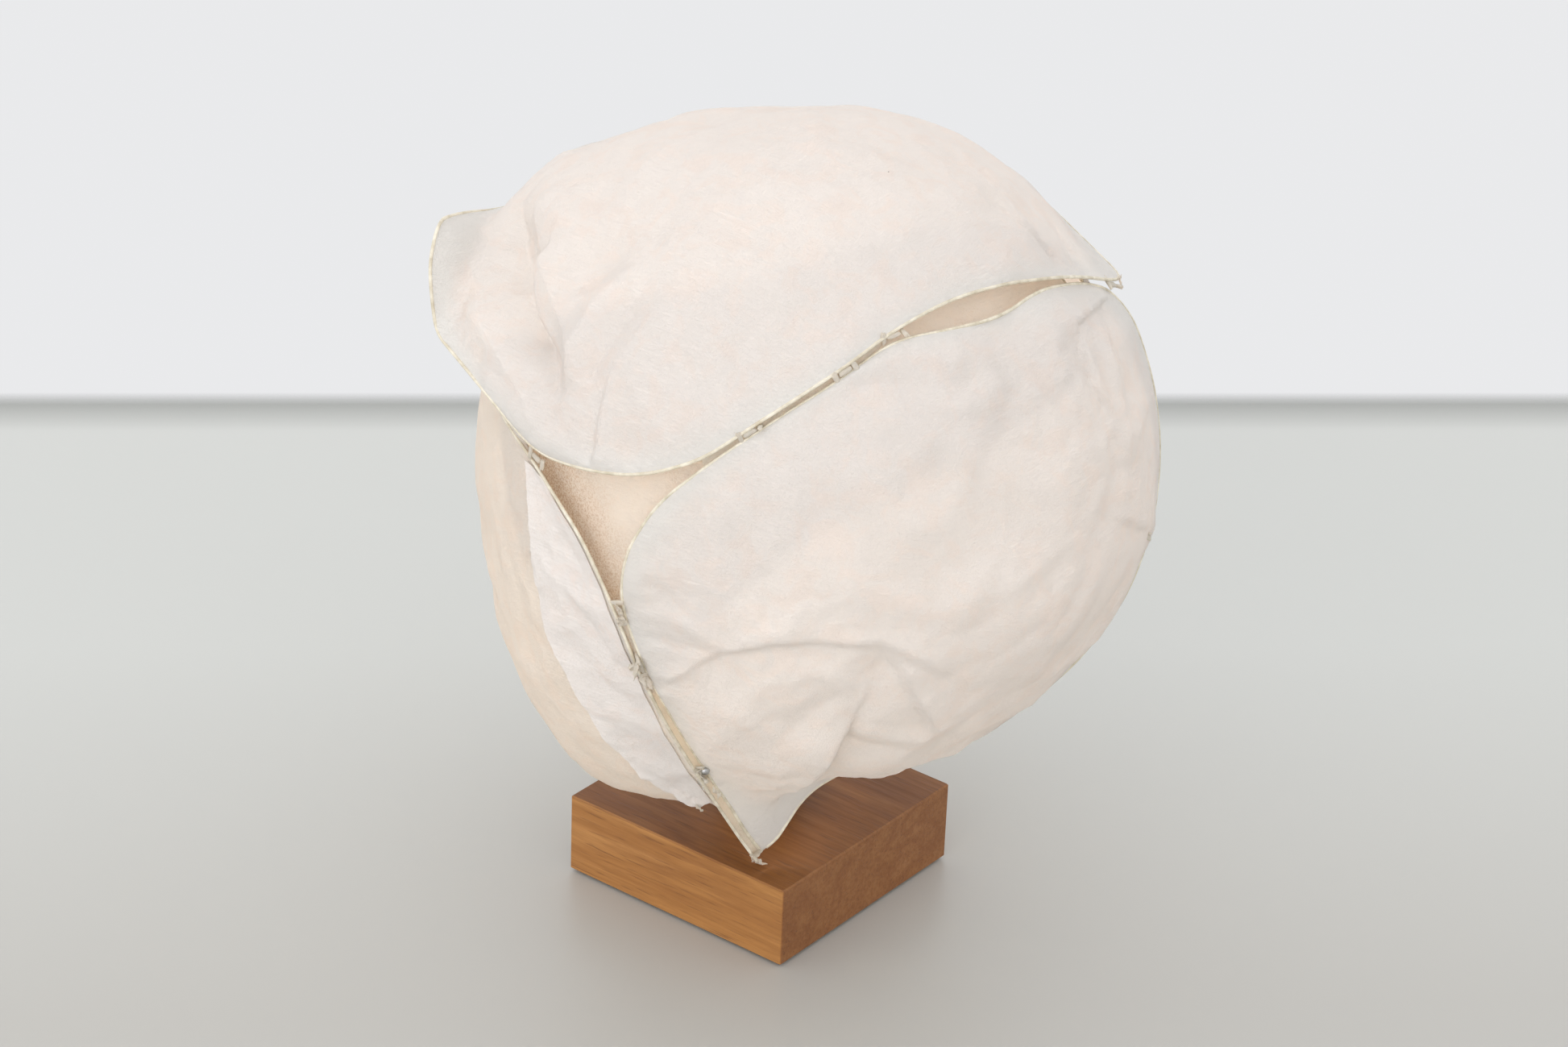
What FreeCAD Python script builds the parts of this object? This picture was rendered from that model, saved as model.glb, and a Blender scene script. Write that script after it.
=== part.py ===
import FreeCAD, Part
import math
import os

# A bud-shaped paper table lantern: papered wire petals over a slim bulb, on a square hardwood block.
# Millimetres, +Z up, origin at the middle of the underside, the block's sides along X and Y.

V = FreeCAD.Vector
up = V(0, 0, 1)
os.makedirs("parts", exist_ok=True)

# ---- driving dimensions ----
block_side = 92.0
block_thickness = 29.0
block_corner = 0.8           # eased upright corners
block_arris = 0.5            # eased top and bottom edges
felt_thickness = 1.0
felt_margin = 2.5            # felt kept back from the block's sides
recess_radius = 30.0         # wiring space under the block
recess_depth = 16.0
cover_radius = 37.0
cover_thickness = 2.2
cover_set_back = 0.2         # cover sits this far above the block's underside
cover_screw_circle = 33.5
fit_gap = 0.2                # sliding and drop-in fits

nipple_radius = 5.0          # M10 hollow stem
nipple_bore = 3.5
nipple_below_nut = 0.5
nipple_into_cap = 9.5
nut_across_flats = 14.0
nut_thickness = 3.0
washer_radius = 9.0
washer_thickness = 1.0
flange_radius = 14.5
flange_thickness = 2.5

cap_radius = 13.2            # lampholder, small screw size
cap_height = 13.5
holder_wall = 1.6
shell_radius = 13.8
shell_height = 32.0
shoulder_radius = 16.5       # the step that the shade stands on
shoulder_height = 14.0       # from the shell's foot to the step
shoulder_thickness = 2.0
insert_height = 7.0
liner_inner = 7.2
liner_wall = 0.5
liner_height = 20.0

screw_cap_radius = 6.9       # lamp
screw_cap_height = 17.0
contact_radius = 2.4
contact_height = 1.4
insulator_height = 1.6
collar_height = 15.0
glass_radius = 12.5
glass_height = 56.0
glass_wall = 1.0
board_radius = 3.0

ring_wall = 3.0              # shade's spider
ring_height = 3.0
slip_thickness = 1.5
arm_radius = 1.0
arm_run = 0.122807           # level run of an arm from the ring, in bud radii
bead_radius = 1.8
turn_gap = 0.5               # ring's bore to the holder shell

bud_lean_x = 0.0877193       # middle of the bud off the stem, in bud radii
bud_lean_y = 0.0701754
bud_rise = 0.8596491         # and above the shade's step
bud_radius = 114.0
wire_radius = 0.55
paper_thickness = 0.8
fold_lift = 1.6              # the turned-back margin lies this far over the left petal
tie_radius = 2.6
tie_length = 7.0

cord_radius = 3.3            # the inlet takes a round two-core cord
cord_height = 9.0            # cord's middle above the table
bush_flange = 6.0
bush_flange_thickness = 1.5
bush_depth = 8.0
clamp_y = 25.0               # the cord clamp, inside the recess
clamp_screw_x = 7.0
lead_radius = 0.8
lead_spread = 2.2            # leads stand this far each side of the middle

# ---- levels, worked out upward from the table ----
block_bottom = felt_thickness
block_top = block_bottom + block_thickness
recess_top = block_bottom + recess_depth
nut_bottom = recess_top - washer_thickness - nut_thickness
nipple_bottom = nut_bottom - nipple_below_nut
cap_bottom = block_top + flange_thickness
nipple_top = cap_bottom + nipple_into_cap
shell_bottom = cap_bottom + cap_height
shoulder_top = shell_bottom + shoulder_height
shell_top = shell_bottom + shell_height
insert_bottom = shell_bottom + holder_wall
insert_top = insert_bottom + insert_height
spring_thickness = 0.8
contact_bottom = insert_top + spring_thickness
insulator_bottom = contact_bottom + contact_height
screw_cap_bottom = insulator_bottom + insulator_height
collar_bottom = screw_cap_bottom + screw_cap_height
glass_bottom = collar_bottom + collar_height
ring_bottom = shoulder_top + slip_thickness
ring_inner = shell_radius + turn_gap
ring_outer = ring_inner + ring_wall


# ---- petals ----
# A point is (bearing, elevation, reach) from the bud's middle: degrees, degrees, share of bud_radius.
# Each petal has four edges, end to end, and its wire starts and stops at the first edge's first point.
front_edges = [
    [(-66, -67, 1.16), (-70, -62.5, 1.10), (-73, -56, 1.03), (-75.5, -44, 0.975), (-78, -29, 0.955),
     (-80.3, -14, 0.985), (-84, -2.5, 0.985), (-83.5, 6, 0.985), (-79, 15.5, 0.985)],
    [(-79, 15.5, 0.985), (-72, 22.5, 0.985), (-64.5, 28.7, 0.985), (-56.5, 34, 0.985),
     (-47.5, 39, 0.985), (-36.5, 44.5, 0.985), (-24, 45, 0.985), (-9, 44.7, 0.985),
     (7.5, 45.8, 0.985), (24, 41.7, 0.985), (35, 35.5, 0.995)],
    [(35, 35.5, 0.995), (38.5, 27.5, 1.005), (38.7, 15.3, 1.0), (37.5, 3, 1.0), (34, -8.5, 1.0),
     (29, -20.3, 0.995), (21, -34, 0.97), (13.3, -46.2, 0.942)],
    [(13.3, -46.2, 0.942), (5, -55, 0.936), (-7.5, -63, 0.915), (-28.5, -69.5, 0.925),
     (-49.5, -70.5, 0.99), (-61, -68.4, 1.12), (-66, -67, 1.16)],
]
top_edges = [
    [(150, 42, 1.03), (175, 33, 1.07), (-165, 29.5, 1.15), (-153, 31.5, 1.22), (-143, 32.7, 1.28)],
    [(-143, 32.7, 1.28), (-138.5, 28.5, 1.25), (-136.5, 24.5, 1.20), (-135, 20.8, 1.155),
     (-126, 20, 1.08), (-115.8, 18.5, 1.03), (-104.7, 15.8, 1.0)],
    [(-104.7, 15.8, 1.0), (-92.4, 17.3, 1.0), (-82.2, 19.3, 1.0), (-72, 24, 1.0), (-64.5, 30, 1.0),
     (-56.5, 35.3, 1.0), (-47.3, 40.5, 1.0), (-36.3, 46, 1.0), (-20.3, 49.6, 1.0),
     (-2.4, 49.2, 1.0), (20, 43.8, 1.005), (36.7, 35.5, 1.02)],
    [(36.7, 35.5, 1.02), (48, 31.5, 1.02), (60, 31.5, 1.01), (72, 42, 1.0), (92, 50.5, 1.0),
     (120, 50, 1.01), (150, 42, 1.03)],
]
left_edges = [
    [(-67, -66.6, 1.187), (-71, -62.3, 1.125), (-74.3, -55.4, 1.055), (-76.2, -43.9, 1.0),
     (-78.7, -28.5, 0.98), (-81.8, -14.5, 0.985), (-85.8, -3.2, 0.985), (-92.3, 6, 0.985),
     (-99.1, 10.5, 0.985), (-106, 13.5, 0.98), (-118.6, 15.5, 0.975), (-133, 17, 0.99)],
    [(-133, 17, 0.99), (-145, 24, 0.985), (-160, 30, 0.985), (-178, 33, 0.985), (165, 33, 0.985),
     (152, 28, 0.985)],
    [(152, 28, 0.985), (147, 2, 0.985), (145, -22, 0.985), (150, -44, 0.98), (165, -62, 0.97)],
    [(165, -62, 0.97), (-170, -68, 0.97), (-137, -70, 0.98), (-108, -70.5, 1.0), (-88, -71, 1.05),
     (-75, -69.5, 1.12), (-67, -66.6, 1.187)],
]
back_edges = [
    [(-48, -75, 0.90), (-30, -62, 0.88), (-10, -51, 0.895), (4, -40, 0.915), (14, -27, 0.94),
     (21, -12, 0.955), (25, 3, 0.955), (26, 18, 0.955), (24, 32, 0.955)],
    [(24, 32, 0.955), (42, 42, 0.955), (64, 53, 0.955), (95, 60, 0.955), (130, 59, 0.955),
     (165, 52, 0.95), (-165, 42, 0.935)],
    [(-165, 42, 0.935), (-172, 25, 0.92), (170, 5, 0.92), (160, -15, 0.92), (158, -35, 0.92),
     (165, -52, 0.915), (176, -66, 0.905)],
    [(176, -66, 0.905), (158, -73, 0.90), (118, -78, 0.90), (52, -80.5, 0.90), (-10, -79, 0.90),
     (-48, -75, 0.90)],
]
inner_edges = [
    [(-82, -24, 0.92), (-101, -9, 0.92), (-118, 5, 0.92), (-127, 22, 0.925)],
    [(-127, 22, 0.925), (-112, 36, 0.925), (-86, 47, 0.925), (-55, 57, 0.925), (-20, 62, 0.925),
     (14, 56, 0.925), (32, 44, 0.925)],
    [(32, 44, 0.925), (27, 34, 0.925), (12, 29, 0.925)],
    [(12, 29, 0.925), (-15, 27, 0.925), (-40, 21, 0.92), (-60, 8, 0.92), (-72, -8, 0.92),
     (-82, -24, 0.92)],
]
# (bearing, elevation, extra reach, spread in degrees) of each petal's one broad bulge, then its own reach
petal_fullness = {
    "front_petal": (5, -65, -0.09, 28, 1.0),
    "top_petal": (-158, 29, 0.14, 22, 0.997),
    "left_petal": (-103, -50, 0.155, 20, 0.955),
    "back_petal": (5, -65, -0.08, 28, 0.945),
    "inner_petal": (0, 0, 0.0, 20, 0.925),
}
petal_edges = {
    "front_petal": front_edges,
    "top_petal": top_edges,
    "left_petal": left_edges,
    "back_petal": back_edges,
    "inner_petal": inner_edges,
}
# the left petal's paper is turned over its wire and pasted back, out to this torn edge
fold_edge = [(-110, 12.5), (-105.5, 5), (-104, -4), (-101.5, -13), (-96, -23), (-88, -36), (-79, -53)]
fold_wire_side = [(-104, 11.8, 0.985), (-98, 9, 0.985), (-92, 4.8, 0.985), (-86.5, -4, 0.985),
                  (-83, -14.5, 0.985), (-80.2, -28, 0.985), (-77.8, -43, 1.01), (-76.5, -53, 1.045)]
# seam ties: (bearing, elevation, reach) on the middle of a tie, then on the seam a little further on
seam_ties = [
    ((-105.3, 14.7, 0.988), (-100, 13.5, 0.988)),
    ((-83.9, -4.5, 0.985), (-82.3, -9, 0.985)),
    ((-80.8, -14.2, 0.985), (-80, -18, 0.98)),
    ((-76.3, -44, 0.987), (-75.6, -48, 0.998)),
    ((-64.5, 29.4, 0.992), (-60, 32, 0.992)),
    ((-47.4, 39.8, 0.992), (-43, 42, 0.992)),
    ((-36.4, 45.3, 0.992), (-32, 46, 0.992)),
    ((36, 35.5, 1.008), (33, 37.5, 1.004)),
]


def direction(bearing, elevation):
    b = math.radians(bearing)
    e = math.radians(elevation)
    return V(math.cos(e) * math.cos(b), math.cos(e) * math.sin(b), math.sin(e))


bud_middle = V(bud_lean_x, bud_lean_y, bud_rise) * bud_radius + up * shoulder_top


def bud_point(bearing, elevation, reach):
    return bud_middle + direction(bearing, elevation) * (reach * bud_radius)


# ---- plain makers ----
def save(name, *shapes):
    for shape in shapes:
        if not shape.isValid() or shape.Volume <= 0:
            raise ValueError("bad solid in " + name)
    whole = shapes[0] if len(shapes) == 1 else Part.makeCompound(list(shapes))
    whole.exportStep("parts/" + name + ".step")
    print(name, len(shapes), round(whole.Volume, 1))


def rod(radius, height, at=V(0, 0, 0), axis=up):
    return Part.makeCylinder(radius, height, at, axis)


def tube(outer, inner, height, at):
    return rod(outer, height, at).cut(rod(inner, height, at))


def box(width, depth, height, middle_x, middle_y, bottom):
    return Part.makeBox(width, depth, height, V(middle_x - width / 2, middle_y - depth / 2, bottom))


def turned(outline):
    """A solid of revolution about Z from (radius, height) points."""
    points = [V(r, 0, z) for r, z in outline]
    face = Part.Face(Part.makePolygon(points + [points[0]]))
    return face.revolve(V(0, 0, 0), up, 360)


def screw(at, head_radius, head_height, shank_radius, shank_length, slot=0.8):
    """A screw driven upward: its head's face is at the given point."""
    body = rod(head_radius, head_height, at).fuse(
        rod(shank_radius, shank_length, at + up * head_height))
    cut = box(head_radius * 2, slot, head_height / 2, at.x, at.y, at.z)
    return body.cut(cut).removeSplitter()


def around(count, radius, height, start=0.0):
    for i in range(count):
        angle = math.radians(start + 360.0 * i / count)
        yield V(radius * math.cos(angle), radius * math.sin(angle), height)


# ---- bent wire: straight runs joined by tangent arcs ----
def bent_path(points):
    edges = []
    here = points[0]
    for before, corner, after in zip(points, points[1:], points[2:]):
        run_in = (corner - before).normalize()
        run_out = (after - corner).normalize()
        turn = run_in.getAngle(run_out)
        shorter = min(corner.distanceToPoint(before), corner.distanceToPoint(after))
        if turn < 0.002:
            continue
        back = 0.45 * shorter
        radius = back / math.tan(turn / 2)
        start = corner - run_in * back
        end = corner + run_out * back
        inward = (run_out - run_in).normalize()
        middle = corner + inward * (radius / math.cos(turn / 2) - radius)
        edges.append(Part.LineSegment(here, start).toShape())
        edges.append(Part.Arc(start, middle, end).toShape())
        here = end
    edges.append(Part.LineSegment(here, points[-1]).toShape())
    return Part.Wire(edges)


def bent_rod(points, radius):
    path = bent_path(points)
    heading = points[1] - points[0]
    profile = Part.Wire(Part.makeCircle(radius, points[0], heading))
    solid = path.makePipeShell([profile], True, False)
    share = solid.Volume / (math.pi * radius ** 2 * path.Length)
    if not 0.97 < share < 1.03:
        raise ValueError("a bent rod came out wrong: %.3f" % share)
    return solid


# ---- petals ----
def loop_points(edges):
    points = [bud_point(*p) for edge in edges for p in edge[:-1]]
    last_run = points[0] - points[-1]
    return points + [points[0] - last_run.normalize() * (4 * wire_radius)]


def resample(points, count):
    """The same line as a count of points at even spacing."""
    lengths = [0.0]
    for a, b in zip(points, points[1:]):
        lengths.append(lengths[-1] + a.distanceToPoint(b))
    out = []
    for i in range(count):
        want = lengths[-1] * i / (count - 1)
        j = 0
        while j < len(points) - 2 and lengths[j + 1] < want:
            j += 1
        span = lengths[j + 1] - lengths[j]
        out.append(points[j] + (points[j + 1] - points[j]) * ((want - lengths[j]) / span))
    return out


def wire_sides(edges, count):
    """Four lists of points along a petal's wire, one for each edge."""
    line = bent_path(loop_points(edges)).discretize(Distance=1.5)
    line.append(line[0])
    marks = [0]
    for edge in edges[:-1]:
        corner = bud_point(*edge[-1])
        marks.append(min(range(len(line)), key=lambda i: line[i].distanceToPoint(corner)))
    marks.append(len(line) - 1)
    return [resample(line[a:b + 1], count) for a, b in zip(marks, marks[1:])]


def reach_of(point):
    return point.distanceToPoint(bud_middle) / bud_radius


def full_reach(heading, fullness):
    bearing, elevation, extra, spread, own = fullness
    away = math.degrees(heading.getAngle(direction(bearing, elevation)))
    return own + extra * math.exp(-0.5 * (away / spread) ** 2)


def coons(s, t, low, high, left, right):
    """A four-edged patch's point, or number, from its edges' values."""
    corners = (low[0] * ((1 - s) * (1 - t)) + low[1] * (s * (1 - t))
               + high[0] * ((1 - s) * t) + high[1] * (s * t))
    along = low[2] * (1 - t) + high[2] * t
    across = left * (1 - s) + right * s
    return along + across - corners


def patch_grid(sides, fullness, lift):
    """Rows of (heading, reach) over a petal, on its wire at the edges and full in the middle."""
    first, second, third, fourth = sides
    low = first
    right = second
    high = list(reversed(third))
    left = list(reversed(fourth))
    count = len(first)
    rows = []
    for j in range(count):
        t = j / (count - 1)
        row = []
        for i in range(count):
            s = i / (count - 1)
            point = coons(s, t, (low[0], low[-1], low[i]), (high[0], high[-1], high[i]),
                          left[j], right[j])
            edge_reach = coons(s, t, [reach_of(p) for p in (low[0], low[-1], low[i])],
                               [reach_of(p) for p in (high[0], high[-1], high[i])],
                               reach_of(left[j]), reach_of(right[j]))
            heading = (point - bud_middle).normalize()
            full = 1 - (1 - 16 * s * (1 - s) * t * (1 - t)) ** 3
            reach = edge_reach + (full_reach(heading, fullness) - edge_reach) * full
            row.append((heading, reach * bud_radius + lift))
        rows.append(row)
    return rows


def skin(rows, lift):
    surface = Part.BSplineSurface()
    surface.interpolate([[bud_middle + heading * (reach + lift) for heading, reach in row]
                         for row in rows])
    return surface


def paper(rows):
    """A closed sheet of paper_thickness on a grid of (heading, reach)."""
    outer = skin(rows, paper_thickness / 2)
    inner = skin(rows, -paper_thickness / 2)
    faces = [outer.toShape(), inner.toShape()]
    low_u, high_u, low_v, high_v = outer.bounds()
    for u in (low_u, high_u):
        faces.append(Part.makeRuledSurface(outer.uIso(u).toShape(), inner.uIso(u).toShape()))
    for v in (low_v, high_v):
        faces.append(Part.makeRuledSurface(outer.vIso(v).toShape(), inner.vIso(v).toShape()))
    shell = Part.makeCompound(faces)
    shell.sewShape(0.01)
    solid = Part.Solid(shell.Shells[0])
    if solid.Volume < 0:
        solid.reverse()
    return solid


def make_petals():
    count = 13
    for name, edges in petal_edges.items():
        save(name + "_wire", bent_rod(loop_points(edges), wire_radius))
        rows = patch_grid(wire_sides(edges, count), petal_fullness[name], 0.0)
        save(name + "_paper", paper(rows))


def left_reach(bearing, elevation):
    """The left petal's own reach at a heading, away from its wire."""
    return full_reach(direction(bearing, elevation), petal_fullness["left_petal"])


def make_fold():
    count = 9
    torn = [bud_point(b, e, left_reach(b, e)) for b, e in fold_edge]
    wired = [bud_point(*p) for p in fold_wire_side]
    low = resample(wired, count)
    high = resample(torn, count)
    left = resample([wired[0], torn[0]], count)
    right = resample([wired[-1], torn[-1]], count)
    sides = [low, right, list(reversed(high)), list(reversed(left))]
    rows = patch_grid(sides, petal_fullness["left_petal"], fold_lift)
    save("left_petal_fold", paper(rows))


def make_seam_ties():
    ties = []
    for at, onward in seam_ties:
        middle = bud_point(*at)
        axis = (bud_point(*onward) - middle).normalize()
        ties.append(rod(tie_radius, tie_length, middle - axis * (tie_length / 2), axis))
    save("seam_ties", *ties)


# ---- base ----
def make_block():
    block = box(block_side, block_side, block_thickness, 0, 0, block_bottom)
    uprights = [e for e in block.Edges if abs(e.tangentAt(e.FirstParameter).z) > 0.9]
    block = block.makeFillet(block_corner, uprights)
    rims = [e for e in block.Edges if abs(e.tangentAt(e.FirstParameter).z) < 0.1]
    block = block.makeChamfer(block_arris, rims)
    block = block.cut(rod(recess_radius, recess_depth, V(0, 0, block_bottom)))
    rebate = cover_thickness + cover_set_back
    block = block.cut(rod(cover_radius + fit_gap, rebate, V(0, 0, block_bottom)))
    block = block.cut(rod(nipple_radius + fit_gap, block_thickness, V(0, 0, block_bottom)))
    for at in around(3, cover_screw_circle, block_bottom, 90):
        block = block.cut(rod(1.4, 12.0, at))
    for x in (-clamp_screw_x, clamp_screw_x):
        block = block.cut(rod(1.4, 6.0, V(x, clamp_y, recess_top)))
    inlet = rod(cord_radius + 0.2, block_side / 2, V(0, 0, cord_height), V(0, 1, 0))
    seat = rod(cord_radius + 1.5 + fit_gap, bush_depth,
               V(0, block_side / 2 - bush_depth, cord_height), V(0, 1, 0))
    save("base_block", block.cut(inlet).cut(seat))


def make_felt():
    side = block_side - 2 * felt_margin
    save("felt_pad", box(side, side, felt_thickness, 0, 0, 0))


def make_cover():
    bottom = block_bottom + cover_set_back
    cover = rod(cover_radius, cover_thickness, V(0, 0, bottom))
    screws = []
    for at in around(3, cover_screw_circle, bottom, 90):
        cover = cover.cut(rod(1.3, cover_thickness, at))
        cover = cover.cut(rod(2.6, 1.2, at))
        screws.append(screw(at, 2.5, 1.2, 1.2, 9.0))
    save("base_cover", cover)
    save("cover_screws", *screws)


def make_cord_inlet():
    face_y = block_side / 2
    along = V(0, 1, 0)
    bush = rod(cord_radius + 1.5, bush_depth, V(0, face_y - bush_depth, cord_height), along)
    bush = bush.fuse(rod(bush_flange, bush_flange_thickness, V(0, face_y, cord_height), along))
    bore = rod(cord_radius, bush_depth + bush_flange_thickness,
               V(0, face_y - bush_depth, cord_height), along)
    save("cord_bush", bush.cut(bore).removeSplitter())
    bar = box(2 * clamp_screw_x + 4, 6, 2, 0, clamp_y, 4.2)
    screws = []
    for x in (-clamp_screw_x, clamp_screw_x):
        bar = bar.cut(rod(1.5, 2, V(x, clamp_y, 4.2)))
        screws.append(screw(V(x, clamp_y, 3.4), 2.4, 0.8, 1.3, 18.0, 0.5))
    save("cord_clamp_bar", bar)
    save("clamp_screws", *screws)


def make_wiring():
    middle_y = 16.0
    terminal = box(16, 10, recess_top - 5.0, 0, middle_y, 5.0)
    screws = []
    for x in (-4.0, 4.0):
        terminal = terminal.cut(rod(1.6, 4.0, V(x, middle_y, 5.0)))
        screws.append(screw(V(x, middle_y, 5.4), 1.4, 1.0, 1.1, 2.2, 0.4))
    terminal = terminal.cut(box(1.0, 10, 3.0, 0, middle_y, 5.0))
    save("terminal_block", terminal)
    save("terminal_screws", *screws)
    face_y = middle_y - 5.0
    for name, side in (("live_lead", -1), ("neutral_lead", 1)):
        x = side * lead_spread
        route = [V(x, face_y, cord_height), V(x, 0, cord_height), V(x, 0, insert_bottom)]
        save(name, bent_rod(route, lead_radius))


def make_nipple():
    height = nipple_top - nipple_bottom
    save("stem_nipple", tube(nipple_radius, nipple_bore, height, V(0, 0, nipple_bottom)))
    washer_bottom = recess_top - washer_thickness
    save("stem_washer", tube(washer_radius, nipple_radius + fit_gap, washer_thickness,
                             V(0, 0, washer_bottom)))
    corner = nut_across_flats / math.sqrt(3)
    outline = list(around(6, corner, nut_bottom, 30))
    nut = Part.Face(Part.makePolygon(outline + [outline[0]])).extrude(up * nut_thickness)
    save("stem_nut", nut.cut(rod(nipple_radius, nut_thickness, V(0, 0, nut_bottom))))
    edge = 0.8
    flange = turned([(nipple_radius + fit_gap, block_top), (flange_radius, block_top),
                     (flange_radius, cap_bottom - edge), (flange_radius - edge, cap_bottom),
                     (nipple_radius + fit_gap, cap_bottom)])
    save("stem_flange", flange)


# ---- lampholder ----
def make_holder():
    inside = cap_radius - holder_wall
    floor = 4.0
    cap = turned([(nipple_radius, cap_bottom), (cap_radius - 3, cap_bottom),
                  (cap_radius, cap_bottom + 4), (cap_radius, shell_bottom),
                  (inside, shell_bottom), (inside, cap_bottom + floor + 2),
                  (inside - 2, cap_bottom + floor), (nipple_radius, cap_bottom + floor)])
    save("holder_cap", cap)
    bore = shell_radius - holder_wall
    under = shoulder_top - shoulder_thickness
    lead_hole = lead_spread + lead_radius + 0.6
    shell = turned([(lead_hole, shell_bottom), (shell_radius, shell_bottom),
                    (shell_radius, under - 1), (shoulder_radius, under),
                    (shoulder_radius, shoulder_top), (shell_radius, shoulder_top),
                    (shell_radius, shell_top), (bore, shell_top), (bore, insert_bottom),
                    (lead_hole, insert_bottom)])
    save("holder_shell", shell)
    insert = rod(bore - fit_gap, insert_height, V(0, 0, insert_bottom))
    groove = tube(liner_inner + liner_wall + fit_gap, liner_inner - fit_gap, 2.0,
                  V(0, 0, insert_top - 2.0))
    save("holder_insert", insert.cut(groove))
    save("screw_liner", tube(liner_inner + liner_wall, liner_inner, liner_height,
                             V(0, 0, insert_top - 2.0)))
    save("centre_spring", box(9.0, 3.0, spring_thickness, 0, 0, insert_top))


# ---- lamp ----
def make_lamp():
    save("lamp_contact", rod(contact_radius, contact_height, V(0, 0, contact_bottom)))
    insulator = turned([(0, insulator_bottom), (contact_radius + 0.6, insulator_bottom),
                        (screw_cap_radius - 0.6, screw_cap_bottom), (0, screw_cap_bottom)])
    save("lamp_insulator", insulator)
    save("lamp_screw_cap", tube(screw_cap_radius, screw_cap_radius - 0.5, screw_cap_height,
                                V(0, 0, screw_cap_bottom)))
    foot = collar_bottom - 6.0
    wide = glass_radius - 0.4
    collar = turned([(0, foot), (screw_cap_radius - 0.5, foot), (screw_cap_radius - 0.5, collar_bottom),
                     (screw_cap_radius + 1.2, collar_bottom), (wide, glass_bottom - 4),
                     (wide, glass_bottom), (0, glass_bottom)])
    save("lamp_collar", collar)
    straight = glass_height - glass_radius
    outer = rod(glass_radius, straight, V(0, 0, glass_bottom))
    outer = outer.fuse(Part.makeSphere(glass_radius, V(0, 0, glass_bottom + straight)))
    inner_radius = glass_radius - glass_wall
    inner = rod(inner_radius, straight, V(0, 0, glass_bottom))
    inner = inner.fuse(Part.makeSphere(inner_radius, V(0, 0, glass_bottom + straight)))
    below = box(60, 60, glass_radius, 0, 0, glass_bottom - glass_radius)
    save("lamp_glass", outer.cut(inner).cut(below).removeSplitter())
    save("lamp_board", rod(board_radius, straight - 4.0, V(0, 0, glass_bottom)))


# ---- the shade's spider ----
# each arm ends on a wire: (bearing, elevation, reach) there
arm_ends = {
    "front_arm": (-75.5, -44, 0.975),
    "right_arm": (4, -40, 0.915),
    "back_arm": (165, -52, 0.915),
}


def make_spider():
    save("slip_washer", tube(shoulder_radius, ring_inner, slip_thickness, V(0, 0, shoulder_top)))
    save("spider_ring", tube(ring_outer, ring_inner, ring_height, V(0, 0, ring_bottom)))
    height = ring_bottom + ring_height / 2
    beads = []
    for name, at in arm_ends.items():
        end = bud_point(*at)
        flat = V(end.x, end.y, 0).normalize()
        start = flat * (ring_inner + ring_wall / 3) + up * height
        elbow = flat * (ring_outer + arm_run * bud_radius) + up * height
        save(name, bent_rod([start, elbow, end], arm_radius))
        beads.append(Part.makeSphere(bead_radius, end))
    save("solder_beads", *beads)


make_block()
make_felt()
make_cover()
make_cord_inlet()
make_wiring()
make_nipple()
make_holder()
make_lamp()
make_spider()
make_petals()
make_fold()
make_seam_ties()
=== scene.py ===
import math

import bpy
import numpy as np
from mathutils import Matrix, Vector, noise
from mathutils.bvhtree import BVHTree


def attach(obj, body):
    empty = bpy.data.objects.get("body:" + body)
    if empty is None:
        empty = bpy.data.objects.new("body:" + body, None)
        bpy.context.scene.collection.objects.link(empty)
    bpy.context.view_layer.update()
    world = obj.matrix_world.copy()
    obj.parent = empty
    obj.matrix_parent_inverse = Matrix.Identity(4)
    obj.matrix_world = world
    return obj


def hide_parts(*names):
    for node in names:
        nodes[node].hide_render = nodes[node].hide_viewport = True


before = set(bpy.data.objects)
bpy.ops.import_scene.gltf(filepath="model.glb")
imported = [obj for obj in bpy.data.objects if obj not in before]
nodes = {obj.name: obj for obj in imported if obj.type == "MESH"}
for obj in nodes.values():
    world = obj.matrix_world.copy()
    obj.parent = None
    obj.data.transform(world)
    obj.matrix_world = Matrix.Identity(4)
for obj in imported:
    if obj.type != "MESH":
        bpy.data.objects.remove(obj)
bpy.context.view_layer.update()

scene = bpy.context.scene


def clearSelection():
    bpy.ops.object.select_all(action="DESELECT")


def pick(piece):
    clearSelection()
    piece.select_set(True)
    bpy.context.view_layer.objects.active = piece


viewpoint = {
    "azimuth": 37.24,
    "elevation": 27.58,
    "roll": 2.28,
    "distance": 1.5,
    "aim": (0.00889, 0.11738),   # across and up from the frame's origin
    "lens": 99.9,
}


def makeCamera():
    a = math.radians(viewpoint["azimuth"])
    e = math.radians(viewpoint["elevation"])
    back = Vector((math.sin(a) * math.cos(e), -math.cos(a) * math.cos(e), math.sin(e)))
    level = Vector((math.cos(a), math.sin(a), 0))
    turn = Matrix.Rotation(math.radians(-viewpoint["roll"]), 3, -back)
    right = turn @ level
    above = back.cross(right)
    across, high = viewpoint["aim"]
    place = right * across + above * high + back * viewpoint["distance"]
    bpy.ops.object.camera_add()
    camera = bpy.context.object
    camera.matrix_world = Matrix((right, above, back)).transposed().to_4x4()
    camera.location = place
    camera.data.lens = viewpoint["lens"]
    camera.data.sensor_width = 36
    camera.data.sensor_fit = "HORIZONTAL"
    scene.camera = camera


makeCamera()
print("camera set")


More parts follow.
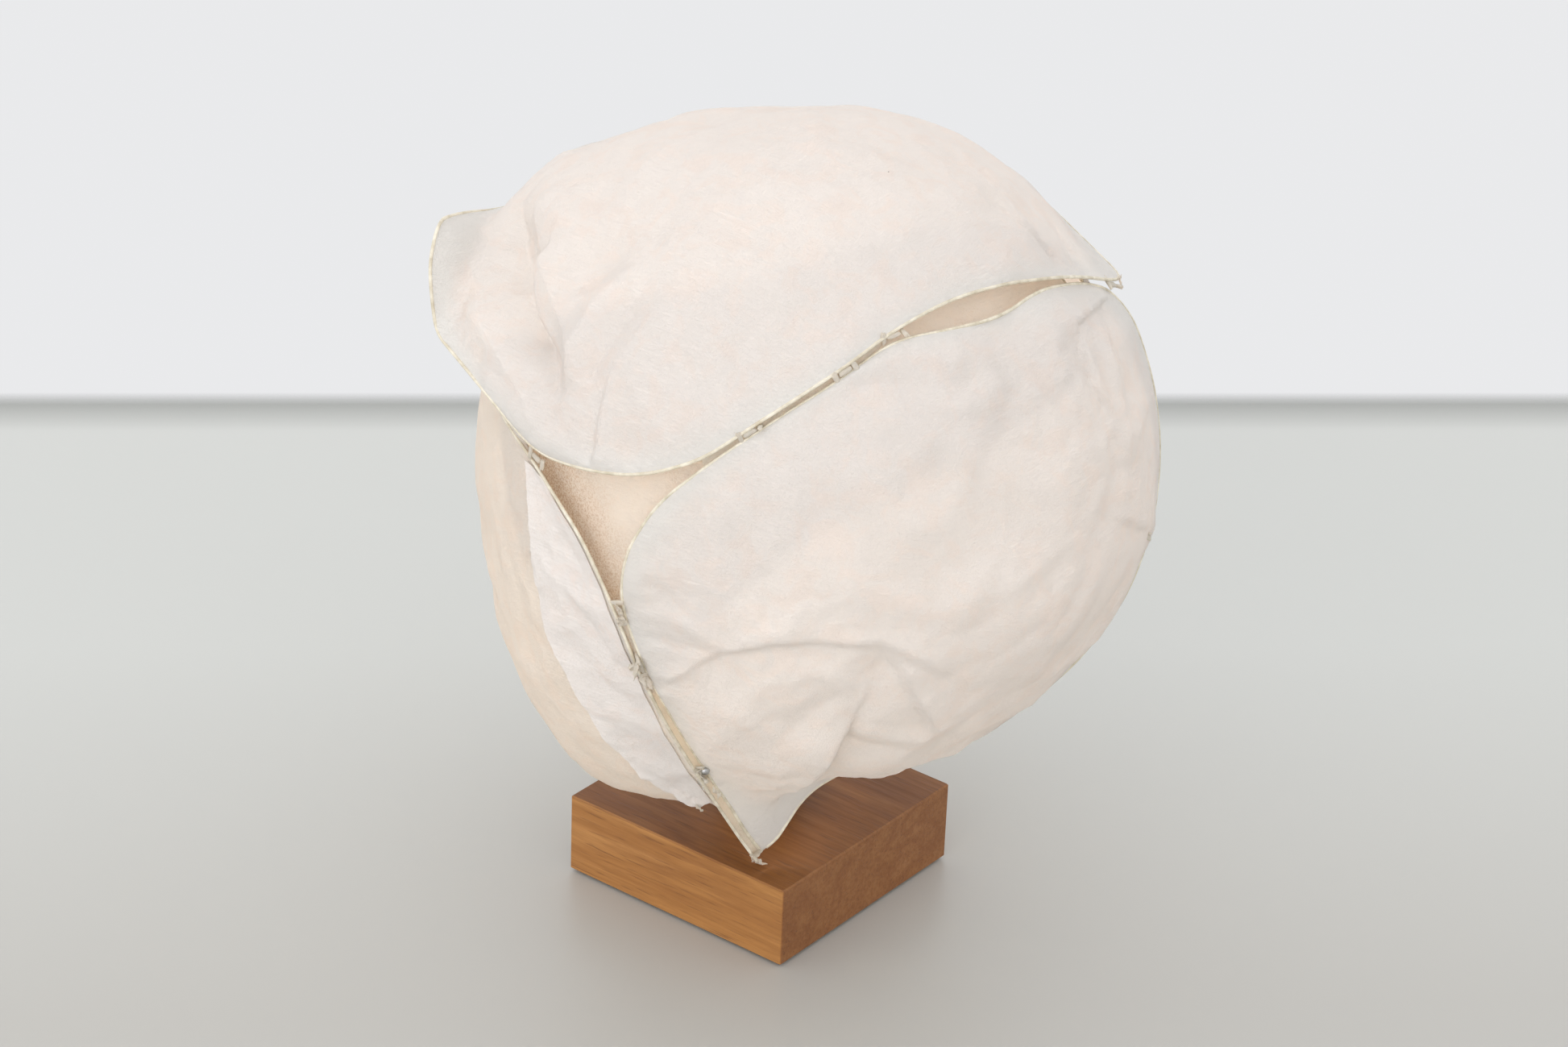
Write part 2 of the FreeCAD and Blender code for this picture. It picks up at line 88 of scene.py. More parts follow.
def newMaterial(name):
    material = bpy.data.materials.new(name)
    material.use_nodes = True
    tree = material.node_tree
    tree.nodes.clear()
    out = tree.nodes.new("ShaderNodeOutputMaterial")
    shader = tree.nodes.new("ShaderNodeBsdfPrincipled")
    tree.links.new(shader.outputs[0], out.inputs["Surface"])
    return material, tree, shader


def objectPlace(tree, stretch=(1, 1, 1), turn=(0, 0, 0), shift=(0, 0, 0)):
    where = tree.nodes.new("ShaderNodeTexCoord")
    mapping = tree.nodes.new("ShaderNodeMapping")
    mapping.inputs["Location"].default_value = shift
    mapping.inputs["Rotation"].default_value = turn
    mapping.inputs["Scale"].default_value = stretch
    tree.links.new(where.outputs["Object"], mapping.inputs["Vector"])
    return mapping.outputs[0]


def noiseOf(tree, place, scale, detail=4, rough=0.55, warp=0.0):
    texture = tree.nodes.new("ShaderNodeTexNoise")
    texture.inputs["Scale"].default_value = scale
    texture.inputs["Detail"].default_value = detail
    texture.inputs["Roughness"].default_value = rough
    texture.inputs["Distortion"].default_value = warp
    tree.links.new(place, texture.inputs["Vector"])
    return texture.outputs["Fac"]


def cellsOf(tree, place, scale):
    texture = tree.nodes.new("ShaderNodeTexVoronoi")
    texture.inputs["Scale"].default_value = scale
    tree.links.new(place, texture.inputs["Vector"])
    return texture.outputs["Distance"]


def wander(tree, place, scale):
    texture = tree.nodes.new("ShaderNodeTexNoise")
    texture.inputs["Scale"].default_value = scale
    tree.links.new(place, texture.inputs["Vector"])
    return texture.outputs["Color"]


def rampOf(tree, factor, *stops):
    ramp = tree.nodes.new("ShaderNodeValToRGB")
    tree.links.new(factor, ramp.inputs["Fac"])
    elements = ramp.color_ramp.elements
    while len(elements) < len(stops):
        elements.new(0.5)
    for element, (at, colour) in zip(elements, stops):
        element.position = at
        element.color = (*colour, 1)
    return ramp.outputs["Color"]


def greyRamp(tree, factor, low, high, dark=0.0, light=1.0):
    return rampOf(tree, factor, (low, (dark,) * 3), (high, (light,) * 3))


def mixOf(tree, factor, first, second, way="MIX"):
    mix = tree.nodes.new("ShaderNodeMix")
    mix.data_type = "RGBA"
    mix.blend_type = way
    for socket, value in ((mix.inputs[0], factor), (mix.inputs[6], first), (mix.inputs[7], second)):
        if isinstance(value, bpy.types.NodeSocket):
            tree.links.new(value, socket)
        elif isinstance(value, (int, float)):
            socket.default_value = value
        else:
            socket.default_value = (*value, 1)
    return mix.outputs[2]


def mathOf(tree, way, first, second=0.0, clamp=False):
    step = tree.nodes.new("ShaderNodeMath")
    step.operation = way
    step.use_clamp = clamp
    for socket, value in zip(step.inputs, (first, second)):
        if isinstance(value, bpy.types.NodeSocket):
            tree.links.new(value, socket)
        else:
            socket.default_value = value
    return step.outputs[0]


def bumpOf(tree, height, depth, strength):
    bump = tree.nodes.new("ShaderNodeBump")
    bump.inputs["Strength"].default_value = strength
    bump.inputs["Distance"].default_value = depth
    tree.links.new(height, bump.inputs["Height"])
    return bump.outputs[0]


def finish(tree, shader, colour, rough, normal):
    tree.links.new(colour, shader.inputs["Base Color"])
    if isinstance(rough, bpy.types.NodeSocket):
        tree.links.new(rough, shader.inputs["Roughness"])
    else:
        shader.inputs["Roughness"].default_value = rough
    tree.links.new(normal, shader.inputs["Normal"])


# A share of 0 is all first shader, 1 is all second.
def blendShaders(tree, share, first, second):
    both = tree.nodes.new("ShaderNodeMixShader")
    if isinstance(share, bpy.types.NodeSocket):
        tree.links.new(share, both.inputs[0])
    else:
        both.inputs[0].default_value = share
    tree.links.new(first.outputs[0], both.inputs[1])
    tree.links.new(second.outputs[0], both.inputs[2])
    out = next(node for node in tree.nodes if node.type == "OUTPUT_MATERIAL")
    tree.links.new(both.outputs[0], out.inputs["Surface"])


bud = {
    "middle": (0.010, 0.008, 0.158),
    "radius": 0.114,
    "sheet": 0.0004,
}

# Each point is (bearing, elevation, reach) from the bud's middle. Four edges make a petal's rim.
petalEdges = {
    "front_petal": [
        [(-66, -67, 1.16), (-70, -62.5, 1.10), (-73, -56, 1.03), (-75.5, -44, 0.975),
         (-78, -29, 0.955), (-80.3, -14, 0.985), (-84, -2.5, 0.985), (-83.5, 6, 0.985),
         (-79, 15.5, 0.985)],
        [(-79, 15.5, 0.985), (-72, 22.5, 0.985), (-64.5, 28.7, 0.985), (-56.5, 34, 0.985),
         (-47.5, 39, 0.985), (-36.5, 44.5, 0.985), (-24, 45, 0.985), (-9, 44.7, 0.985),
         (7.5, 45.8, 0.985), (24, 41.7, 0.985), (35, 35.5, 0.995)],
        [(35, 35.5, 0.995), (38.5, 27.5, 1.005), (38.7, 15.3, 1.0), (37.5, 3, 1.0), (34, -8.5, 1.0),
         (29, -20.3, 0.995), (21, -34, 0.97), (13.3, -46.2, 0.942)],
        [(13.3, -46.2, 0.942), (5, -55, 0.936), (-7.5, -63, 0.915), (-28.5, -69.5, 0.925),
         (-49.5, -70.5, 0.99), (-61, -68.4, 1.12), (-66, -67, 1.16)],
    ],
    "top_petal": [
        [(150, 42, 1.03), (175, 33, 1.07), (-165, 29.5, 1.15), (-153, 31.5, 1.22),
         (-143, 32.7, 1.28)],
        [(-143, 32.7, 1.28), (-138.5, 28.5, 1.25), (-136.5, 24.5, 1.20), (-135, 20.8, 1.155),
         (-126, 20, 1.08), (-115.8, 18.5, 1.03), (-104.7, 15.8, 1.0)],
        [(-104.7, 15.8, 1.0), (-92.4, 17.3, 1.0), (-82.2, 19.3, 1.0), (-72, 24, 1.0),
         (-64.5, 30, 1.0), (-56.5, 35.3, 1.0), (-47.3, 40.5, 1.0), (-36.3, 46, 1.0),
         (-20.3, 49.6, 1.0), (-2.4, 49.2, 1.0), (20, 43.8, 1.005), (36.7, 35.5, 1.02)],
        [(36.7, 35.5, 1.02), (48, 31.5, 1.02), (60, 31.5, 1.01), (72, 42, 1.0), (92, 50.5, 1.0),
         (120, 50, 1.01), (150, 42, 1.03)],
    ],
    "left_petal": [
        [(-67, -66.6, 1.187), (-71, -62.3, 1.125), (-74.3, -55.4, 1.055), (-76.2, -43.9, 1.0),
         (-78.7, -28.5, 0.98), (-81.8, -14.5, 0.985), (-85.8, -3.2, 0.985), (-92.3, 6, 0.985),
         (-99.1, 10.5, 0.985), (-106, 13.5, 0.98), (-118.6, 15.5, 0.975), (-133, 17, 0.99)],
        [(-133, 17, 0.99), (-145, 24, 0.985), (-160, 30, 0.985), (-178, 33, 0.985),
         (165, 33, 0.985), (152, 28, 0.985)],
        [(152, 28, 0.985), (147, 2, 0.985), (145, -22, 0.985), (150, -44, 0.98), (165, -62, 0.97)],
        [(165, -62, 0.97), (-170, -68, 0.97), (-137, -70, 0.98), (-108, -70.5, 1.0),
         (-88, -71, 1.05), (-75, -69.5, 1.12), (-67, -66.6, 1.187)],
    ],
    "back_petal": [
        [(-48, -75, 0.90), (-30, -62, 0.88), (-10, -51, 0.895), (4, -40, 0.915), (14, -27, 0.94),
         (21, -12, 0.955), (25, 3, 0.955), (26, 18, 0.955), (24, 32, 0.955)],
        [(24, 32, 0.955), (42, 42, 0.955), (64, 53, 0.955), (95, 60, 0.955), (130, 59, 0.955),
         (165, 52, 0.95), (-165, 42, 0.935)],
        [(-165, 42, 0.935), (-172, 25, 0.92), (170, 5, 0.92), (160, -15, 0.92), (158, -35, 0.92),
         (165, -52, 0.915), (176, -66, 0.905)],
        [(176, -66, 0.905), (158, -73, 0.90), (118, -78, 0.90), (52, -80.5, 0.90),
         (-10, -79, 0.90), (-48, -75, 0.90)],
    ],
    "inner_petal": [
        [(-82, -24, 0.92), (-101, -9, 0.92), (-118, 5, 0.92), (-127, 22, 0.925)],
        [(-127, 22, 0.925), (-112, 36, 0.925), (-86, 47, 0.925), (-55, 57, 0.925),
         (-20, 62, 0.925), (14, 56, 0.925), (32, 44, 0.925)],
        [(32, 44, 0.925), (27, 34, 0.925), (12, 29, 0.925)],
        [(12, 29, 0.925), (-15, 27, 0.925), (-40, 21, 0.92), (-60, 8, 0.92), (-72, -8, 0.92),
         (-82, -24, 0.92)],
    ],
}
# (bearing, elevation, extra reach, spread in degrees) of each petal's broad bulge, then its own reach
petalFullness = {
    "front_petal": (5, -65, -0.09, 28, 1.0),
    "top_petal": (-158, 29, 0.14, 22, 0.997),
    "left_petal": (-103, -50, 0.155, 20, 0.955),
    "back_petal": (5, -65, -0.08, 28, 0.945),
    "inner_petal": (0, 0, 0.0, 20, 0.925),
}


def headings(bearing, elevation):
    b = np.radians(bearing)
    e = np.radians(elevation)
    return np.stack([np.cos(e) * np.cos(b), np.cos(e) * np.sin(b), np.sin(e)], -1)


def budPoints(points):
    points = np.array(points, float)
    return headings(points[:, 0], points[:, 1]) * points[:, 2:3]   # in bud radii, about its middle


# A curve that touches each run at its middle, as bent wire does.
def smoothRoute(points, steps=24):
    middles = (points[1:] + points[:-1]) / 2
    t = np.linspace(0, 1, steps)[:, None]
    line = [points[:1]]
    for before, corner, after in zip(middles, points[1:-1], middles[1:]):
        line.append((1 - t) ** 2 * before + 2 * t * (1 - t) * corner + t ** 2 * after)
    line.append(points[-1:])
    return np.concatenate(line)


def evenly(line, count):
    steps = np.linalg.norm(np.diff(line, axis=0), axis=1)
    along = np.concatenate([[0], np.cumsum(steps)])
    want = np.linspace(0, along[-1], count)
    return np.stack([np.interp(want, along, line[:, k]) for k in range(3)], -1)


def rimOf(edges):
    loop = np.concatenate([budPoints(edge)[:-1] for edge in edges] + [budPoints(edges[0])[:1]])
    return smoothRoute(loop)


def rimSides(edges, count):
    line = rimOf(edges)
    marks = [0]
    for edge in edges[:-1]:
        corner = budPoints(edge)[-1]
        marks.append(int(np.argmin(np.linalg.norm(line - corner, axis=1))))
    marks.append(len(line) - 1)
    return [evenly(line[a:b + 1], count) for a, b in zip(marks, marks[1:])]


# How far out the middle of a petal stands, in bud radii.
def fullReach(heading, fullness):
    bearing, elevation, extra, spread, own = fullness
    away = np.degrees(np.arccos(np.clip(heading @ headings(bearing, elevation), -1, 1)))
    return own + extra * np.exp(-0.5 * (away / spread) ** 2)


# A surface spread evenly between four edges.
def coons(low, high, left, right):
    s = np.linspace(0, 1, len(low))[None, :, None]
    t = np.linspace(0, 1, len(left))[:, None, None]
    corners = (low[0] * (1 - s) * (1 - t) + low[-1] * s * (1 - t)
               + high[0] * (1 - s) * t + high[-1] * s * t)
    return (low[None] * (1 - t) + high[None] * t
            + left[:, None] * (1 - s) + right[:, None] * s - corners)


# Headings and reaches over a sheet: on its wire at the rim, full in the middle.
def patchOf(sides, fullness):
    low, right, high, left = sides[0], sides[1], sides[2][::-1], sides[3][::-1]
    spots = coons(low, high, left, right)
    far = [np.linalg.norm(side, axis=1, keepdims=True) for side in (low, high, left, right)]
    rimReach = coons(*far)[..., 0]
    heading = spots / np.linalg.norm(spots, axis=-1, keepdims=True)
    s = np.linspace(0, 1, len(low))[None, :]
    t = np.linspace(0, 1, len(left))[:, None]
    full = 1 - (1 - 16 * s * (1 - s) * t * (1 - t)) ** 3
    return heading, rimReach + (fullReach(heading, fullness) - rimReach) * full, full


# Distance from a crease in millimetres, positive to the left of its travel, and place along it.
def alongCrease(heading, route):
    line = headings(*np.array(route, float).T[:2])
    scale = bud["radius"] * 1000
    nearest = np.full(len(heading), 1e9)
    side = np.zeros(len(heading))
    place = np.zeros(len(heading))
    total = len(line) - 1
    for k, (start, end) in enumerate(zip(line, line[1:])):
        step = end - start
        u = np.clip(((heading - start) @ step) / (step @ step), 0, 1)
        gap = heading - (start + u[:, None] * step)
        far = np.linalg.norm(gap, axis=1) * scale
        left = np.einsum("ij,ij->i", np.cross(heading, step), gap)
        closer = far < nearest
        nearest = np.where(closer, far, nearest)
        side = np.where(closer, np.sign(left), side)
        place = np.where(closer, (k + u) / total, place)
    return nearest * side, place


# Millimetres that the creases push the paper out or in.
def creaseDepth(heading, creases):
    out = np.zeros(len(heading))
    for kind, depth, width, route in creases:
        if kind == "dent":
            bearing, elevation = route
            away = 1 - heading @ headings(bearing, elevation)
            out += depth * np.exp(-away * 2 * (bud["radius"] * 1000 / width) ** 2 / 2)
            continue
        far, place = alongCrease(heading, route)
        fade = np.clip(np.minimum(place, 1 - place) * 5 + 0.12, 0, 1)
        if kind == "fold":
            out += depth * fade * np.clip(1 - np.sqrt((far / width) ** 2 + 0.003), 0, 1)
        elif kind == "tuck":
            out += depth * fade * np.tanh(far / 1.1) * np.exp(-np.abs(far) / width)
        elif kind == "under":
            low = np.clip(0.5 - far / 3.2, 0, 1)
            low = low * low * (3 - 2 * low)
            out -= depth * fade * low * np.exp(-np.abs(far) / width)
            out += 0.35 * depth * fade * np.exp(-np.abs(far) / 4)
    return out


# A grid whose points are moved to the given rows of places.
def gridPiece(name, spots):
    rows, columns = spots.shape[:2]
    clearSelection()
    bpy.ops.mesh.primitive_grid_add(x_subdivisions=columns - 1, y_subdivisions=rows - 1, size=1)
    piece = bpy.context.object
    piece.name = name
    piece.data.name = name
    piece.data.vertices.foreach_set("co", spots.reshape(-1, 3).ravel())
    piece.data.update()
    return piece


def turnOutward(piece):
    pick(piece)
    middle = Vector(bud["middle"])
    faces = piece.data.polygons
    outward = sum((face.center - middle).dot(face.normal) > 0 for face in faces)
    if outward < len(faces) / 2:
        piece.data.flip_normals()


def thicken(piece, thickness):
    pick(piece)
    solid = piece.modifiers.new("thickness", "SOLIDIFY")
    solid.thickness = thickness
    solid.offset = 0
    bpy.ops.object.modifier_apply(modifier=solid.name)
    bpy.ops.object.shade_smooth_by_angle(angle=math.radians(50))


# Millimetres of rounded facets that meet in fine creases, as dried handmade paper has.
def crumple(flat, seed):
    out = np.empty(len(flat))
    for i, spot in enumerate(flat):
        p = Vector(spot) * 1000
        warp = Vector((noise.noise(p / 28), noise.noise(p / 28 + Vector((9, 0, 0))), 0)) * 9
        broad = noise.noise(p / 42 + Vector((seed, 0, 0)))
        crest = 0.3 - abs(noise.noise((p + warp) / 30 + Vector((0, seed, 3))))
        valley = abs(noise.noise((p - warp) / 21 + Vector((5, seed, 0)))) - 0.25
        patch = max(0, noise.noise(p / 36 + Vector((seed, 4, 8))) + 0.1)
        fine = 0.3 - abs(noise.noise((p + warp) / 9 + Vector((2, 1, seed))))
        tiny = noise.noise(p / 3 + Vector((seed, 7, 0)))
        out[i] = 1.6 * broad + 1.9 * crest + 1.3 * valley + 1.5 * patch * fine + 0.05 * tiny
    return out


# Keeps how near each point is to its wire, for the painted shade that greys the paper toward its rim.
def markRim(piece, values):
    layer = piece.data.attributes.new("rim", "FLOAT", "POINT")
    layer.data.foreach_set("value", values.ravel())


def makeSheet(name, build):
    count = build["count"]
    sides = rimSides(petalEdges[name], count)
    heading, reach, full = patchOf(sides, petalFullness[name])
    spots = heading * (reach * bud["radius"])[..., None]
    flat = heading.reshape(-1, 3)
    push = crumple(spots.reshape(-1, 3), build["seed"]) * build["amount"]
    push += creaseDepth(flat, build["creases"])
    inset = 1 - (1 - full) ** 5
    spots += heading * (push.reshape(full.shape) * inset * 0.001)[..., None]
    spots += np.array(bud["middle"])
    piece = gridPiece(name + "_sheet", spots)
    markRim(piece, 1 - full)
    turnOutward(piece)
    area = sum(face.area for face in piece.data.polygons)
    thicken(piece, bud["sheet"])
    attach(piece, "shade")
    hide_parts(name + "_paper")
    print(name, "area", round(area, 4))
    return piece, area


# Each crease is (kind, millimetres out, width in millimetres, route of (bearing, elevation)).
petalSheets = {
    "front_petal": {
        "cut": (0.215, 0.245), "count": 214, "amount": 1.25, "seed": 1.0,
        "creases": [
            ("under", 2.0, 24, [(-77, -17), (-70, -10), (-66, -7), (-58, -4), (-51, -3.5), (-41, -4),
                                (-33, -9), (-24, -16)]),
            ("tuck", 1.6, 9, [(-42, -4), (-38, -9), (-35, -15), (-30, -24), (-26, -29)]),
            ("fold", -1.8, 8, [(-41, -5), (-42, -14), (-45, -24), (-47, -32)]),
            ("tuck", -4.5, 12, [(-44, -20), (-47, -32), (-51, -45), (-56, -56), (-62, -66)]),
            ("fold", 1.6, 7, [(-45, -24), (-36, -27), (-26, -28)]),
            ("fold", 1.2, 7, [(-54, -7), (-60, -14), (-66, -24)]),
            ("fold", -1.2, 6, [(-45, -12), (-52, -19), (-58, -30)]),
            ("fold", 0.9, 4, [(-81, -16), (-76, -14), (-70, -11)]),
            ("fold", -0.9, 4, [(-82, -8), (-73, -7), (-65, -7)]),
            ("fold", 0.8, 4, [(-82, -4), (-75, -2), (-68, -4)]),
            ("fold", -0.8, 4, [(-81, 2), (-77, 2), (-72, -2)]),
            ("tuck", -1.3, 6, [(33, 35), (22, 37), (10, 38), (8, 34)]),
            ("tuck", 1.7, 7, [(10, 38), (8, 34), (7, 28), (9, 21)]),
            ("fold", 1.5, 6, [(21, 37), (15, 31), (12, 21), (10, 14)]),
            ("fold", -1.0, 8, [(10, 20), (7, 15), (3, 8), (-3, -2)]),
            ("tuck", 0.7, 6, [(4, 7), (12, 2), (21, -3)]),
            ("fold", -1.3, 7, [(-49, 37), (-41, 38), (-26, 36), (-18, 37)]),
            ("fold", 1.2, 8, [(-42, 35), (-36, 31), (-29, 26), (-22, 24)]),
            ("fold", -1.0, 8, [(-15, 39), (-13, 34), (-18, 26), (-25, 22)]),
            ("dent", -1.8, 14, (-16, 30)),
        ]},
    "top_petal": {
        "cut": (0.235, 0.255), "count": 214, "amount": 1.2, "seed": 2.0,
        "creases": [
            ("fold", -9.0, 12, [(-152, 39), (-147, 36), (-136, 34), (-123, 32), (-112, 29), (-102, 25)]),
            ("tuck", 2.6, 9, [(-134, 43), (-130, 37), (-123, 33), (-112, 31)]),
            ("fold", 2.4, 8, [(-138, 26), (-128, 26), (-111, 27)]),
            ("fold", 3.2, 9, [(-104, 52), (-106, 43), (-105, 34), (-102, 27)]),
            ("fold", -2.6, 8, [(-97, 46), (-98, 37), (-99, 29)]),
            ("tuck", 1.5, 6, [(-94, 33), (-93, 26), (-92, 21), (-92, 18)]),
            ("dent", -8.5, 17, (-121, 49)),
            ("dent", -4.0, 10, (-139, 37)),
            ("fold", 2.4, 10, [(-148, 42), (-139, 44), (-130, 48), (-118, 56)]),
            ("fold", 1.6, 9, [(-150, 47), (-139, 47), (-129, 43), (-118, 41)]),
            ("tuck", 0.8, 7, [(52, 68), (22, 57), (22, 46)]),
            ("fold", 1.2, 9, [(-62, 55), (-56, 50), (-49, 45)]),
            ("fold", -1.2, 9, [(-82, 55), (-70, 50), (-64, 44)]),
            ("fold", 0.9, 8, [(-58, 59), (-43, 58), (-36, 51)]),
            ("dent", -2.2, 10, (-165, 71)),
        ]},
    "left_petal": {
        "cut": (0.200, 0.245), "count": 170, "amount": 1.2, "seed": 3.0,
        "creases": [
            ("fold", -1.0, 7, [(-118, 5), (-110, -12), (-105, -30), (-98, -45)]),
            ("fold", 1.2, 8, [(-130, -20), (-116, -34), (-100, -46)]),
        ]},
    "back_petal": {
        "cut": (0.260, 0.290), "count": 170, "amount": 1.0, "seed": 4.0,
        "creases": [
            ("fold", -1.6, 9, [(40, -50), (62, -20), (70, 10)]),
            ("fold", 1.4, 9, [(130, -30), (110, -5), (104, 25)]),
            ("tuck", 0.9, 8, [(85, 48), (92, 20), (84, -8)]),
        ]},
    "inner_petal": {
        "cut": (0.120, 0.200), "count": 110, "amount": 0.6, "seed": 5.0,
        "creases": [
            ("fold", 0.8, 6, [(-98, 2), (-90, -4), (-84, -14)]),
        ]},
}

sheets = {}
for name, build in petalSheets.items():
    sheets[name], area = makeSheet(name, build)


margin = {
    "torn": [(-110, 12.5), (-105.5, 5), (-104.5, -4), (-102, -13), (-96.5, -23), (-88.5, -36),
             (-79.5, -53)],
    "wired": [(-104, 11.8), (-98, 9), (-92, 4.8), (-86.5, -4), (-83, -14.5), (-80.2, -28),
              (-77.8, -43), (-76.5, -53)],
    "lift": 0.0009,
    "rows": 240,
    "columns": 60,
    "flat": (0.045, 0.165),
}


# How far out the paper under a heading lies, in metres from the bud's middle.
def outerReach(tree, heading, fallback):
    middle = Vector(bud["middle"])
    way = Vector(heading)
    spot, _, _, _ = tree.ray_cast(middle + way * 0.25, -way, 0.25)
    return (spot - middle).length if spot is not None else fallback


def makeMargin():
    rows, columns = margin["rows"], margin["columns"]
    torn = evenly(smoothRoute(headings(*np.array(margin["torn"], float).T)), rows)
    wired = evenly(smoothRoute(headings(*np.array(margin["wired"], float).T)), rows)
    clearSelection()
    under = BVHTree.FromObject(sheets["left_petal"], bpy.context.evaluated_depsgraph_get())
    spots = np.empty((rows, columns, 3))
    last = 0.112
    for i in range(rows):
        u = i / (rows - 1)
        for j in range(columns):
            v = j / (columns - 1)
            ragged = 0
            if v > 0.8:
                p = Vector((i * 0.9, 0, 3))
                ragged = (0.020 * noise.noise(p / 6) + 0.012 * noise.noise(p / 1.7)) * (v - 0.8) * 5
            way = wired[i] * (1 - v) + torn[i] * v + (torn[i] - wired[i]) * ragged
            way = way / np.linalg.norm(way)
            last = outerReach(under, way, last)
            lift = margin["lift"] * min(1, 0.35 + 4 * v)
            lift += 0.0009 * max(0, v - 0.75) * 4 * (0.5 + noise.noise(Vector((i / 22, 2, 0))))
            lift += 0.0004 * noise.noise(Vector((i / 24, j / 20, 1))) * math.sin(math.pi * v)
            lift += 0.0025 * max(0, u - 0.9) * 10 * v
            cockle = noise.noise(Vector((i / 6, j / 12, 4)))
            lift += 0.0013 * max(0, u - 0.45) * 1.8 * v ** 2 * (0.5 + cockle)
            spots[i, j] = way * (last + max(lift, 0.0005))
    piece = gridPiece("left_petal_margin", spots + np.array(bud["middle"]))
    # painted shade: the margin takes more of the grey rim shade toward its torn edge
    fade = np.tile(np.linspace(0.25, 0.6, columns), (rows, 1))
    markRim(piece, fade)
    turnOutward(piece)
    thicken(piece, 0.0003)
    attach(piece, "shade")
    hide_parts("left_petal_fold")
    return piece


sheets["left_margin"] = makeMargin()


hem = {"rows": 130, "columns": 11, "past": 0.16, "thick": 0.0002}
hems = {
    "front_left_hem": {
        "first": petalEdges["front_petal"][0][:7], "second": petalEdges["left_petal"][0][:7],
    },
    "front_top_hem": {
        "first": petalEdges["front_petal"][1][1:6], "second": petalEdges["top_petal"][2][3:8],
    },
}


def makeHem(name, build):
    rows, columns = hem["rows"], hem["columns"]
    first = evenly(smoothRoute(budPoints(build["first"])), rows)
    second = evenly(smoothRoute(budPoints(build["second"])), rows)
    across = np.linspace(-hem["past"], 1 + hem["past"], columns)[None, :, None]
    spots = first[:, None] * (1 - across) + second[:, None] * across
    spots = spots * bud["radius"]
    sag = 0.0006 + 0.0007 * np.sin(np.pi * np.clip(across[..., 0], 0, 1))
    reach = np.linalg.norm(spots, axis=-1, keepdims=True)
    ruffle = np.array([[noise.noise(Vector((i / 7, j / 3, 2))) for j in range(columns)]
                       for i in range(rows)]) * 0.0004
    spots = spots / reach * (reach - (sag + ruffle)[..., None])
    piece = gridPiece(name, spots + np.array(bud["middle"]))
    turnOutward(piece)
    thicken(piece, hem["thick"])
    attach(piece, "shade")
    return piece


seamHems = [makeHem(name, build) for name, build in hems.items()]


# Centres and long axes of a piece's separate lumps.
def looseParts(piece):
    mesh = piece.data
    group = list(range(len(mesh.vertices)))

    def root(k):
        while group[k] != k:
            group[k] = group[group[k]]
            k = group[k]
        return k

    for edge in mesh.edges:
        a, b = edge.vertices
        group[root(a)] = root(b)
    lumps = {}
    for vertex in mesh.vertices:
        lumps.setdefault(root(vertex.index), []).append(piece.matrix_world @ vertex.co)
    found = []
    for spots in lumps.values():
        cloud = np.array(spots)
        centre = cloud.mean(axis=0)
        _, _, ways = np.linalg.svd(cloud - centre, full_matrices=False)
        found.append((Vector(centre), Vector(ways[0])))
    return sorted(found, key=lambda lump: lump[0].z)


# Turns a piece built along X, with Z outward, onto the seam.
def placed(piece, centre, along, out):
    across = out.cross(along).normalized()
    out = along.cross(across).normalized()
    turn = Matrix((along, across, out)).transposed().to_4x4()
    piece.data.transform(Matrix.Translation(centre) @ turn)


tie = {"short": 0.0036, "varies": 0.0014, "radius": 0.00085, "sides": 28}


# A strip of torn paper wound flat round two wires.
def makeTie(index, centre, along):
    clearSelection()
    length = tie["short"] + tie["varies"] * ((index * 7) % 3) / 2
    bpy.ops.mesh.primitive_cylinder_add(vertices=tie["sides"], radius=tie["radius"], depth=length,
                                        end_fill_type="TRIFAN",
                                        rotation=(0, math.radians(90), 0))
    piece = bpy.context.object
    bpy.ops.object.transform_apply(location=False, rotation=True, scale=False)
    bpy.ops.object.mode_set(mode="EDIT")
    bpy.ops.mesh.select_all(action="SELECT")
    bpy.ops.mesh.subdivide(number_cuts=5)
    bpy.ops.object.mode_set(mode="OBJECT")
    for vertex in piece.data.vertices:
        p = vertex.co
        key = Vector((index * 5.1, 0, 0))
        swell = 1 + 0.35 * noise.noise(p * 500 + key) + 0.12 * noise.noise(p * 1500 + key)
        end = abs(p.x) / (length / 2)
        swell *= 1 - 0.25 * end ** 4
        p.y *= swell * 1.05
        p.z *= swell * 0.72
        p.x += 0.0007 * end ** 2 * math.copysign(1, p.x) * noise.noise(Vector((p.y, p.z, 0)) * 1500 + key)
    out = (centre - Vector(bud["middle"])).normalized()
    placed(piece, centre, along, out)
    return piece


# A small torn flake of paper that stands off the seam.
def makeTab(index, centre, along, size, tilt):
    rows, columns = 16, 10
    wide, long = size
    spots = np.empty((rows, columns, 3))
    for i in range(rows):
        for j in range(columns):
            u = i / (rows - 1)
            v = j / (columns - 1) * 2 - 1
            key = Vector((index * 3.7, 1, 0))
            edge = 1 - 0.45 * u ** 2 + 0.35 * noise.noise(Vector((u * 3, math.copysign(2, v), index)))
            x = v * wide / 2 * edge
            y = u * long * (1 + 0.3 * noise.noise(Vector((v * 2, 5, index))))
            z = 0.0006 * noise.noise(Vector((u * 2.2, v * 1.6, 0)) + key) * 2 + math.sin(tilt) * y
            spots[i, j] = (x, y * math.cos(tilt), z)
    piece = gridPiece("tab", spots)
    thicken(piece, 0.0002)
    out = (centre - Vector(bud["middle"])).normalized()
    placed(piece, centre + out * 0.0007, along, out)
    return piece


